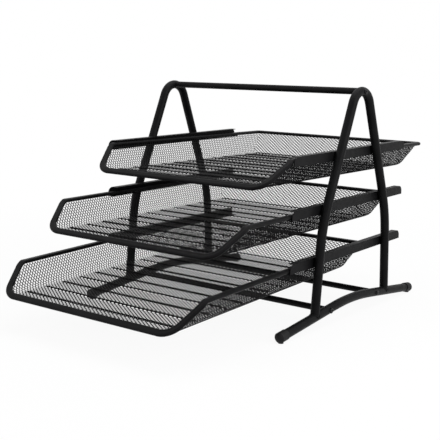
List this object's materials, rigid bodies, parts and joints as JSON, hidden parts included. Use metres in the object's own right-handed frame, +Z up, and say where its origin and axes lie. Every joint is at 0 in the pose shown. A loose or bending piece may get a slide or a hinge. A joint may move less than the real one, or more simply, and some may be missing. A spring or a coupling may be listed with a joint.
{
  "type": "letter tray stack",
  "caption": "Desk stack of mesh letter trays that slide out on channel rails between two bent-tube side frames, with a handle bar across the top.",
  "frame": {"origin": "on the desk, under the middle of the stack's outer box with the trays drawn out as at rest", "axes": "+Z up, -Y is the side the trays draw out to, X runs from left to right as seen from the front"},
  "size_m": [0.3, 0.5144, 0.2759],
  "materials": {
    "tube": "satin black powder coat on steel tube and bar",
    "rail": "satin black powder coat on steel sheet",
    "tray_rim": "satin black powder coat on flat steel strip",
    "mesh": "satin black powder coat on fine expanded steel mesh",
    "screw": "black coated steel",
    "end_cap": "matte black plastic"
  },
  "bodies": {
    "stand": {"left_side_frame": "tube", "right_side_frame": "tube", "left_foot_bar": "tube", "right_foot_bar": "tube", "left_front_foot_cap": "end_cap", "left_rear_foot_cap": "end_cap", "right_front_foot_cap": "end_cap", "right_rear_foot_cap": "end_cap", "handle_bar": "tube", "front_crossbar": "tube", "rear_crossbar": "tube", "handle_screws": "screw", "crossbar_screws": "screw", "top_left_rail": "rail", "top_right_rail": "rail", "middle_left_rail": "rail", "middle_right_rail": "rail", "bottom_left_rail": "rail", "bottom_right_rail": "rail"},
    "top_tray": {"top_tray_rim": "tray_rim", "top_tray_floor": "mesh", "top_tray_left_wall": "mesh", "top_tray_right_wall": "mesh", "top_tray_rear_wall": "mesh"},
    "middle_tray": {"middle_tray_rim": "tray_rim", "middle_tray_floor": "mesh", "middle_tray_left_wall": "mesh", "middle_tray_right_wall": "mesh", "middle_tray_rear_wall": "mesh"},
    "bottom_tray": {"bottom_tray_rim": "tray_rim", "bottom_tray_floor": "mesh", "bottom_tray_left_wall": "mesh", "bottom_tray_right_wall": "mesh", "bottom_tray_rear_wall": "mesh"}
  },
  "joints": [
    {"name": "top_tray_slide", "type": "slide", "parent": "stand", "child": "top_tray", "axis": [0, -0.9999, -0.0105], "range_m": [0, 0.2]},
    {"name": "middle_tray_slide", "type": "slide", "parent": "stand", "child": "middle_tray", "axis": [0, -0.9998, -0.0192], "range_m": [-0.078, 0.117]},
    {"name": "bottom_tray_slide", "type": "slide", "parent": "stand", "child": "bottom_tray", "axis": [0, -0.9992, -0.0395], "range_m": [-0.145, 0.05]}
  ]
}
